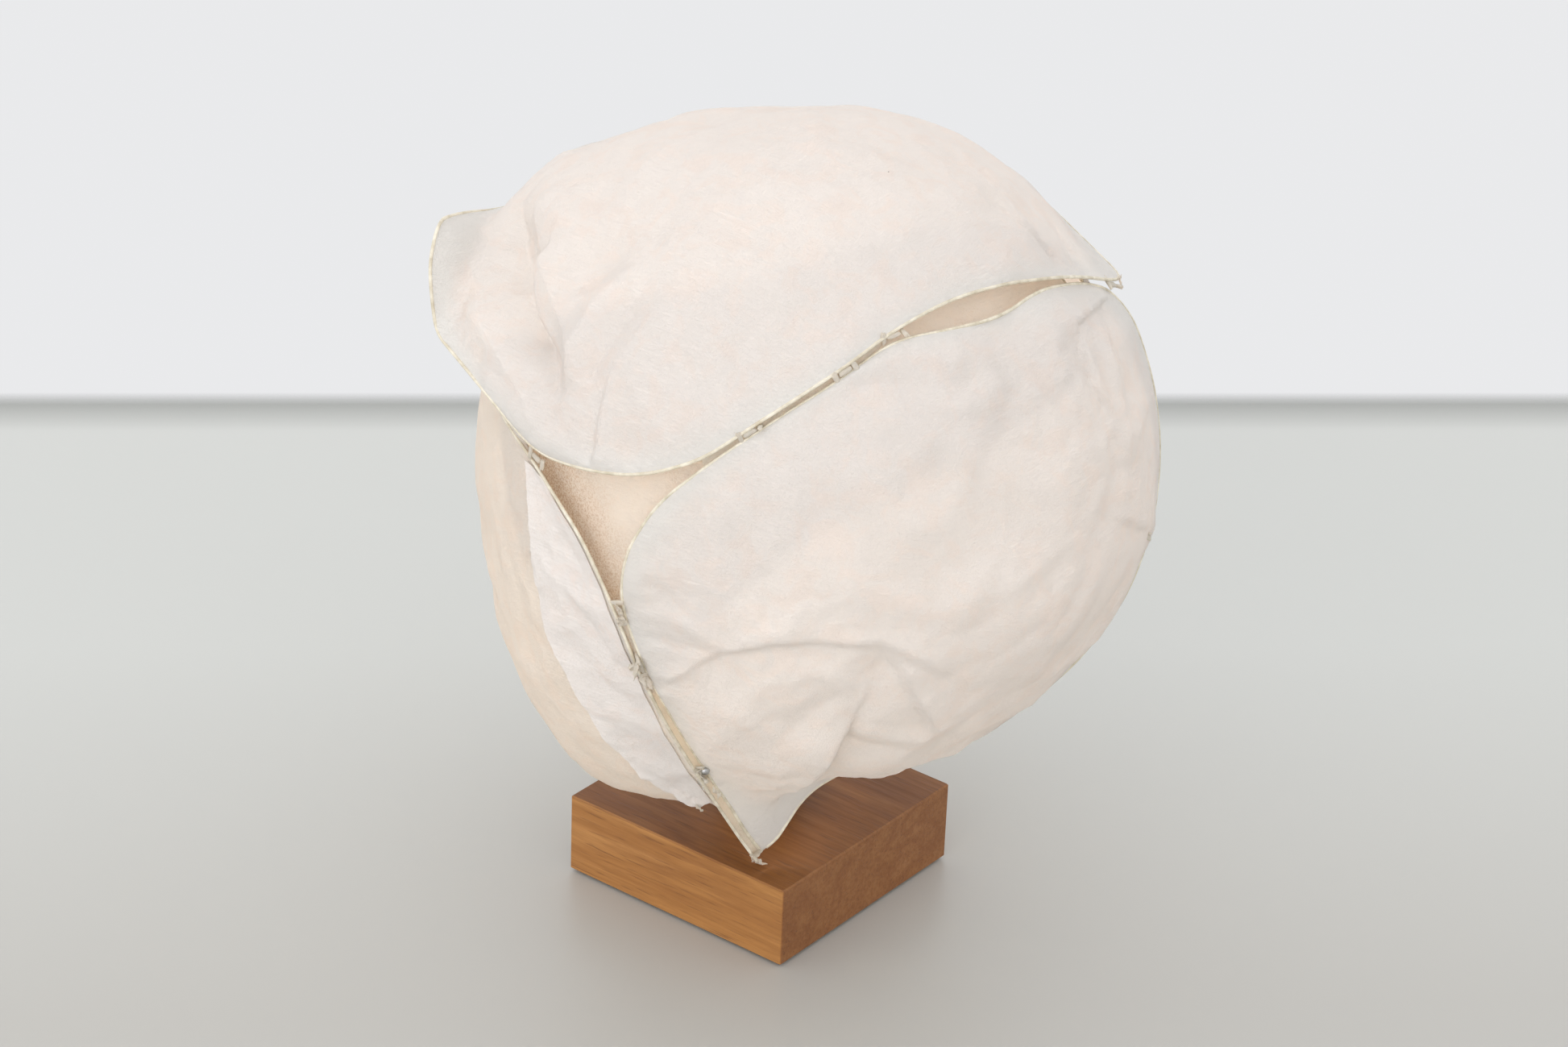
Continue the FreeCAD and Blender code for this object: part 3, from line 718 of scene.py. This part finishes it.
# (tie number from the lowest, offset along the seam, width and length in metres, tilt, side)
tabs = [
    (0, 0.001, (0.0040, 0.0050), 0.5, 1), (0, -0.006, (0.0030, 0.0042), 0.3, 1),
    (0, 0.008, (0.0034, 0.0036), 0.6, -1), (1, 0.001, (0.0032, 0.0034), 0.4, 1),
    (2, -0.001, (0.0026, 0.0030), 0.5, -1), (3, 0.000, (0.0036, 0.0046), 0.3, 1),
    (4, 0.001, (0.0030, 0.0034), 0.4, 1), (5, 0.002, (0.0052, 0.0050), 0.35, -1),
    (5, -0.006, (0.0040, 0.0040), 0.3, -1), (6, 0.000, (0.0036, 0.0034), 0.5, 1),
    (7, -0.002, (0.0034, 0.0040), 0.6, 1),
]


# (bearing, elevation, reach) of a lone tab and of the way it points, then its size and tilt
loneTabs = [
    ((-65.5, -67.4, 1.185), (-80, -60, 1.1), (0.0048, 0.0046), 0.2),
    ((-66.5, -66.2, 1.150), (-50, -64, 1.1), (0.0040, 0.0050), 0.3),
    ((-79.6, -52.0, 1.050), (-90, -55, 1.0), (0.0040, 0.0034), 0.4),
    ((38.0, 33.5, 1.012), (45, 28, 1.0), (0.0030, 0.0040), 0.3),
    ((22.0, -4.0, 0.992), (15, 0, 1.0), (0.0050, 0.0026), 0.1),
]


def budPlace(bearing, elevation, reach):
    return Vector(headings(bearing, elevation)) * reach * bud["radius"] + Vector(bud["middle"])


def makeTies():
    pieces = []
    spots = looseParts(nodes["seam_ties"])
    for index, (centre, along) in enumerate(spots):
        pieces.append(makeTie(index, centre, along))
    for number, (index, offset, size, tilt, side) in enumerate(tabs):
        centre, along = spots[index]
        pieces.append(makeTab(number, centre + along * offset, along * side, size, tilt))
    for number, (at, toward, size, tilt) in enumerate(loneTabs):
        centre = budPlace(*at)
        along = (budPlace(*toward) - centre).normalized()
        pieces.append(makeTab(20 + number, centre, along, size, tilt))
    clearSelection()
    for piece in pieces:
        piece.select_set(True)
    bpy.context.view_layer.objects.active = pieces[0]
    bpy.ops.object.join()
    ties = bpy.context.object
    ties.name = "seam_tie_strips"
    bpy.ops.object.transform_apply(location=True, rotation=True, scale=True)
    bpy.ops.object.shade_smooth_by_angle(angle=math.radians(60))
    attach(ties, "shade")
    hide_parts("seam_ties")
    return ties


ties = makeTies()
print("sheets and ties made")


def paperMaterial(name, face, rim, through, share, speckle, gathered=False):
    material, tree, shader = newMaterial(name)
    place = objectPlace(tree)
    clouds = noiseOf(tree, place, 42, 6, 0.6, 0.5)
    mottle = noiseOf(tree, objectPlace(tree, (1, 1, 1), (0, 0, 0), (3, 1, 2)), 110, 4, 0.6, 0.8)
    fibres = noiseOf(tree, objectPlace(tree, (50, 420, 420), (0.4, 0.7, 0.3)), 3, 4, 0.7, 1.0)
    crossFibres = noiseOf(tree, objectPlace(tree, (420, 50, 420), (0.9, 0.2, 1.1)), 3, 4, 0.7, 1.0)
    web = mathOf(tree, "MAXIMUM", fibres, crossFibres)
    nearRim = tree.nodes.new("ShaderNodeAttribute")
    nearRim.attribute_name = "rim"
    # painted shade: toward each wire rim, and in cloud patches there, the face turns to the greyer rim
    # colour
    rimShadeShare = mathOf(tree, "ADD", nearRim.outputs["Fac"], mathOf(tree, "MULTIPLY", clouds, 0.5))
    rimShadeShare = greyRamp(tree, rimShadeShare, 0.60, 1.3)
    tone = mixOf(tree, greyRamp(tree, clouds, 0.35, 0.65), [c * 0.965 for c in face], face)
    blush = (face[0], face[1] * 0.955, face[2] * 0.93)
    tone = mixOf(tree, greyRamp(tree, mottle, 0.48, 0.62, 0, 0.8), tone, blush)
    tone = mixOf(tree, rimShadeShare, tone, rim)
    tone = mixOf(tree, greyRamp(tree, web, 0.58, 0.75, 0, 0.30), tone, (0.97, 0.95, 0.92))
    fleck = noiseOf(tree, place, 1700, 3, 0.6)
    patches = noiseOf(tree, place, 48, 3, 0.6)
    gatheredShare = greyRamp(tree, patches, 0.42, 0.66)
    flecks = mathOf(tree, "MULTIPLY", greyRamp(tree, fleck, 0.52, 0.64), gatheredShare)
    if gathered:
        spot = tree.nodes.new("ShaderNodeSeparateXYZ")
        tree.links.new(place, spot.inputs[0])
        beside = mathOf(tree, "ADD", mathOf(tree, "MULTIPLY", spot.outputs["X"], 0.786),
                        mathOf(tree, "MULTIPLY", spot.outputs["Z"], 0.618))
        beside = greyRamp(tree, mathOf(tree, "SUBTRACT", beside, 0.0995), 0.0, 0.021, 1.0, 0.0)
        flecks = mathOf(tree, "ADD", mathOf(tree, "MULTIPLY", flecks, 0.35),
                        mathOf(tree, "MULTIPLY", greyRamp(tree, fleck, 0.42, 0.60), beside), True)
    flecks = mathOf(tree, "MULTIPLY", flecks, speckle)
    tone = mixOf(tree, flecks, tone, (0.56, 0.41, 0.25))
    bark = mathOf(tree, "MULTIPLY", greyRamp(tree, cellsOf(tree, place, 45), 0.010, 0.022, 1.0, 0.0),
                  greyRamp(tree, mottle, 0.56, 0.58))
    tone = mixOf(tree, bark, tone, (0.22, 0.18, 0.13))
    height = mathOf(tree, "ADD", mathOf(tree, "MULTIPLY", web, 0.6), mathOf(tree, "MULTIPLY", clouds, 0.8))
    bentPlace = mixOf(tree, 0.018, place, wander(tree, place, 30), "ADD")
    facets = cellsOf(tree, bentPlace, 55)
    wrinkles = cellsOf(tree, bentPlace, 120)
    height = mathOf(tree, "ADD", height, mathOf(tree, "MULTIPLY", facets, 1.6))
    height = mathOf(tree, "ADD", height, mathOf(tree, "MULTIPLY", wrinkles, 0.5))
    normal = bumpOf(tree, height, 0.0011, 0.75)
    finish(tree, shader, tone, greyRamp(tree, web, 0.3, 0.8, 0.58, 0.80), normal)
    shader.inputs["Specular IOR Level"].default_value = 0.35
    glow = tree.nodes.new("ShaderNodeBsdfTranslucent")
    thin = mixOf(tree, greyRamp(tree, clouds, 0.3, 0.7), through, [c * 0.94 for c in through])
    # painted shade near the rim: less light comes through the paper there
    thin = mixOf(tree, rimShadeShare, thin, [c * 0.93 for c in through])
    thin = mixOf(tree, flecks, thin, (0.52, 0.36, 0.21))
    tree.links.new(thin, glow.inputs["Color"])
    tree.links.new(normal, glow.inputs["Normal"])
    blendShaders(tree, share, shader, glow)
    return material


def coat(piece, material):
    piece.data.materials.clear()
    piece.data.materials.append(material)


papers = {
    # painted shade: the left petal is the same paper as the rest, given a darker, warmer face and dimmer
    # light through it
    "shaded": paperMaterial("shadedLeftPetalPaper", (0.935, 0.865, 0.785), (0.93, 0.885, 0.82),
                            (0.96, 0.90, 0.82), 0.34, 0.05),
    "outer": paperMaterial("longFibrePaper", (0.965, 0.915, 0.875), (0.93, 0.91, 0.875),
                           (0.98, 0.95, 0.915), 0.36, 0.05),
    # painted light: the folded margin is the same paper, given a lighter, pinker face to brighten the
    # double layer
    "margin": paperMaterial("litFoldedMarginPaper", (0.985, 0.915, 0.865), (0.97, 0.91, 0.86),
                            (1.0, 0.96, 0.92), 0.15, 0.12),
    "inner": paperMaterial("innerPaper", (0.945, 0.915, 0.87), (0.93, 0.90, 0.85),
                           (0.985, 0.93, 0.86), 0.58, 0.6, True),
    "hem": paperMaterial("hemPaper", (0.93, 0.89, 0.82), (0.90, 0.85, 0.76),
                         (1.0, 0.93, 0.80), 0.55, 0.35),
    "strip": paperMaterial("tornPaper", (0.88, 0.84, 0.76), (0.80, 0.74, 0.63),
                           (0.95, 0.88, 0.76), 0.40, 0.3),
}
sheetPapers = {"inner_petal": "inner", "left_petal": "shaded", "left_margin": "margin"}
for name, piece in sheets.items():
    coat(piece, papers[sheetPapers.get(name, "outer")])
coat(ties, papers["strip"])
for piece in seamHems:
    coat(piece, papers["hem"])
print("paper done")


def woodMaterial():
    material, tree, shader = newMaterial("oiledHardwood")
    ringPlace = objectPlace(tree, (2.5, 22, 34), (0, 0.03, 0.06), (0.2, 0.1, 0))
    rings = noiseOf(tree, ringPlace, 1.7, 3, 0.5, 0.9)
    grain = noiseOf(tree, objectPlace(tree, (5, 80, 80), (0, 0.02, 0.03)), 8, 6, 0.62, 0.5)
    pores = noiseOf(tree, objectPlace(tree, (45, 900, 900)), 1.6, 2, 0.5)
    base = rampOf(tree, rings, (0.30, (0.35, 0.148, 0.040)), (0.46, (0.46, 0.212, 0.061)),
                  (0.58, (0.37, 0.158, 0.042)), (0.72, (0.52, 0.250, 0.078)))
    tone = mixOf(tree, greyRamp(tree, grain, 0.38, 0.68, 0.0, 0.5), base, (0.25, 0.098, 0.028))
    tone = mixOf(tree, greyRamp(tree, pores, 0.60, 0.70, 0.0, 0.55), tone, (0.17, 0.065, 0.020))
    facing = tree.nodes.new("ShaderNodeTexCoord")
    side = tree.nodes.new("ShaderNodeSeparateXYZ")
    tree.links.new(facing.outputs["Normal"], side.inputs[0])
    # partly end grain that takes more oil, partly painted shade: both X faces darkened, the seen one
    # turned away from the lamp
    endGrainAndShade = greyRamp(tree, mathOf(tree, "ABSOLUTE", side.outputs["X"]), 0.5, 0.9)
    # partly the oiled finish, partly painted shade: the whole top face darkened for the lantern over it
    topFinishAndShade = greyRamp(tree, side.outputs["Z"], 0.5, 0.9)
    tone = mixOf(tree, endGrainAndShade, tone, mixOf(tree, 1.0, tone, (0.66, 0.60, 0.66), "MULTIPLY"))
    tone = mixOf(tree, topFinishAndShade, tone, mixOf(tree, 1.0, tone, (0.55, 0.46, 0.34), "MULTIPLY"))
    raised = mathOf(tree, "MULTIPLY", grain, 0.5)
    height = mathOf(tree, "SUBTRACT", raised, greyRamp(tree, pores, 0.6, 0.72))
    rough = greyRamp(tree, grain, 0.3, 0.7, 0.42, 0.58)
    finish(tree, shader, tone, rough, bumpOf(tree, height, 0.0002, 0.35))
    shader.inputs["Specular IOR Level"].default_value = 0.4
    return material


coat(nodes["base_block"], woodMaterial())
print("wood done")


def plainFinish(name, look):
    material, tree, shader = newMaterial(name)
    place = objectPlace(tree, look.get("stretch", (1, 1, 1)))
    blotch = noiseOf(tree, place, look["blotch"], 5, 0.6)
    fine = noiseOf(tree, place, look["blotch"] * 9, 3, 0.6)
    tone = mixOf(tree, greyRamp(tree, blotch, 0.35, 0.65), look["dark"], look["light"])
    low, high = look["rough"]
    rough = greyRamp(tree, blotch, 0.3, 0.7, low, high)
    finish(tree, shader, tone, rough, bumpOf(tree, fine, look["bump"], 0.4))
    shader.inputs["Metallic"].default_value = look.get("metal", 0)
    if "glow" in look:
        shader.inputs["Emission Color"].default_value = (*look["glow"][0], 1)
        shader.inputs["Emission Strength"].default_value = look["glow"][1]
    return material


finishes = {
    "pastedWire": {
        "nodes": ["front_petal_wire", "top_petal_wire", "left_petal_wire", "back_petal_wire",
                  "inner_petal_wire"],
        "dark": (0.60, 0.53, 0.40), "light": (0.84, 0.78, 0.65), "blotch": 260, "rough": (0.55, 0.8),
        "bump": 0.0002},
    "darkFelt": {"nodes": ["felt_pad"], "dark": (0.02, 0.02, 0.02), "light": (0.05, 0.048, 0.045),
                 "blotch": 900, "rough": (0.9, 1.0), "bump": 0.0003},
    "pressedBoard": {"nodes": ["base_cover"], "dark": (0.20, 0.13, 0.08), "light": (0.27, 0.18, 0.11),
                     "blotch": 300, "rough": (0.7, 0.85), "bump": 0.0001},
    "zincSteel": {"nodes": ["cover_screws", "clamp_screws", "terminal_screws", "centre_spring"],
                  "dark": (0.45, 0.45, 0.44), "light": (0.6, 0.6, 0.58), "blotch": 700,
                  "rough": (0.3, 0.5), "bump": 0.00004, "metal": 1},
    "rubber": {"nodes": ["cord_bush"], "dark": (0.02, 0.02, 0.02), "light": (0.035, 0.035, 0.035),
               "blotch": 400, "rough": (0.6, 0.75), "bump": 0.00008},
    "mouldedPlastic": {"nodes": ["cord_clamp_bar", "terminal_block", "slip_washer"],
                       "dark": (0.70, 0.70, 0.67), "light": (0.78, 0.78, 0.75), "blotch": 250,
                       "rough": (0.4, 0.5), "bump": 0.00005},
    "brownSleeve": {"nodes": ["live_lead"], "dark": (0.13, 0.055, 0.03), "light": (0.17, 0.07, 0.04),
                    "blotch": 300, "rough": (0.35, 0.5), "bump": 0.00003},
    "blueSleeve": {"nodes": ["neutral_lead"], "dark": (0.03, 0.10, 0.35), "light": (0.04, 0.13, 0.42),
                   "blotch": 300, "rough": (0.35, 0.5), "bump": 0.00003},
    "dullBrass": {"nodes": ["stem_nipple", "stem_nut", "stem_washer", "screw_liner", "lamp_contact"],
                  "dark": (0.55, 0.38, 0.15), "light": (0.70, 0.52, 0.24), "blotch": 350,
                  "rough": (0.28, 0.45), "bump": 0.00004, "metal": 1},
    "nickelPlate": {"nodes": ["stem_flange", "lamp_screw_cap"], "dark": (0.55, 0.53, 0.50),
                    "light": (0.68, 0.66, 0.62), "blotch": 400, "rough": (0.2, 0.35), "bump": 0.00003,
                    "metal": 1},
    "blackBakelite": {"nodes": ["holder_cap", "holder_shell"], "dark": (0.018, 0.016, 0.015),
                      "light": (0.035, 0.031, 0.028), "blotch": 300, "rough": (0.3, 0.42),
                      "bump": 0.00004},
    "whiteCeramic": {"nodes": ["holder_insert"], "dark": (0.76, 0.74, 0.70), "light": (0.84, 0.83, 0.79),
                     "blotch": 200, "rough": (0.2, 0.35), "bump": 0.00003},
    "darkGlaze": {"nodes": ["lamp_insulator"], "dark": (0.015, 0.015, 0.018),
                  "light": (0.03, 0.03, 0.034), "blotch": 300, "rough": (0.15, 0.25),
                  "bump": 0.00002},
    "lampPlastic": {"nodes": ["lamp_collar"], "dark": (0.76, 0.76, 0.75), "light": (0.82, 0.82, 0.80),
                    "blotch": 250, "rough": (0.35, 0.45), "bump": 0.00003},
    "lampBoard": {"nodes": ["lamp_board"], "dark": (0.65, 0.60, 0.35), "light": (0.80, 0.72, 0.40),
                  "blotch": 500, "rough": (0.4, 0.6), "bump": 0.00006},
    "sprungSteel": {"nodes": ["spider_ring", "front_arm", "right_arm", "back_arm"],
                    "dark": (0.30, 0.29, 0.27), "light": (0.45, 0.43, 0.40), "blotch": 350,
                    "rough": (0.35, 0.55), "bump": 0.00006, "metal": 1},
    "solder": {"nodes": ["solder_beads"], "dark": (0.45, 0.45, 0.45), "light": (0.62, 0.62, 0.61),
               "blotch": 500, "rough": (0.25, 0.45), "bump": 0.0001, "metal": 1},
    "litGlass": {"nodes": ["lamp_glass"], "dark": (0.95, 0.88, 0.78), "light": (1.0, 0.94, 0.85),
                 "blotch": 60, "rough": (0.3, 0.4), "bump": 0.00003,
                 "glow": ((1.0, 0.91, 0.80), 15.0)},
}
for name, look in finishes.items():
    material = plainFinish(name, look)
    for node in look["nodes"]:
        coat(nodes[node], material)
print("finishes done")


studio = {
    "edgeTurn": 42.45,       # degrees; the floor's far edge meets the wall here
    "edgeAway": 0.3714,      # metres behind the lantern
    "edgeFade": 0.011,       # metres over which the floor gives way to the wall
    "floorWide": 12,
    "floorNear": 8,
    "wallSeen": 0.835,
    "skyFill": 1.13,
    "lampTurn": 24,          # degrees left of the camera
    "lampAway": 1.5,
    "lampHigh": 0.5,
    "lampAim": 0.14,
    "lampWide": 1.4,
    "lampPower": 8,
}


def makeFloor():
    clearSelection()
    bpy.ops.mesh.primitive_plane_add(size=1)
    floor = bpy.context.object
    floor.name = "floor"
    for vertex in floor.data.vertices:
        vertex.co.x *= studio["floorWide"]
        vertex.co.y = studio["edgeAway"] if vertex.co.y > 0 else -studio["floorNear"]
    floor.rotation_euler.z = math.radians(studio["edgeTurn"])
    material, tree, shader = newMaterial("paleFloor")
    place = objectPlace(tree)
    mottle = noiseOf(tree, place, 5, 3)
    tone = mixOf(tree, mottle, (0.560, 0.567, 0.540), (0.575, 0.582, 0.556))
    split = tree.nodes.new("ShaderNodeSeparateXYZ")
    tree.links.new(place, split.inputs[0])
    fromWall = mathOf(tree, "SUBTRACT", studio["edgeAway"], split.outputs["Y"])
    # painted shadow: a dark band where the floor meets the wall, then from 220 mm out darker over the
    # lantern's shadow and on toward the front
    near = rampOf(tree, fromWall,
                  (0.0, (0.45, 0.45, 0.45)), (0.008, (0.50, 0.505, 0.495)), (0.036, (1, 1, 1)),
                  (0.22, (0.99, 0.99, 0.99)), (0.46, (0.82, 0.79, 0.77)), (1.0, (0.71, 0.70, 0.69)))
    tone = mixOf(tree, 1.0, tone, near, "MULTIPLY")
    fine = noiseOf(tree, place, 400, 2)
    finish(tree, shader, tone, 0.34, bumpOf(tree, fine, 0.0001, 0.2))
    clear = tree.nodes.new("ShaderNodeBsdfTransparent")
    blendShaders(tree, greyRamp(tree, fromWall, 0.0, studio["edgeFade"]), clear, shader)
    coat(floor, material)


def makeLight():
    world = bpy.data.worlds.new("studio")
    world.use_nodes = True
    tree = world.node_tree
    back = tree.nodes["Background"]
    back.inputs[0].default_value = (0.98, 0.985, 1.0, 1)
    seen = tree.nodes.new("ShaderNodeLightPath")
    level = tree.nodes.new("ShaderNodeMapRange")
    tree.links.new(seen.outputs["Is Camera Ray"], level.inputs["Value"])
    level.inputs["To Min"].default_value = studio["skyFill"]
    level.inputs["To Max"].default_value = studio["wallSeen"]
    tree.links.new(level.outputs[0], back.inputs[1])
    scene.world = world
    a = math.radians(viewpoint["azimuth"] - studio["lampTurn"])
    away = studio["lampAway"]
    place = Vector((math.sin(a) * away, -math.cos(a) * away, studio["lampHigh"]))
    bpy.ops.object.light_add(type="AREA", location=place)
    lamp = bpy.context.object
    lamp.data.shape = "DISK"
    lamp.data.size = studio["lampWide"]
    lamp.data.energy = studio["lampPower"]
    aim = Vector((0, 0, studio["lampAim"]))
    lamp.rotation_euler = (aim - place).to_track_quat("-Z", "Y").to_euler()


makeFloor()
makeLight()
scene.view_settings.view_transform = "Standard"
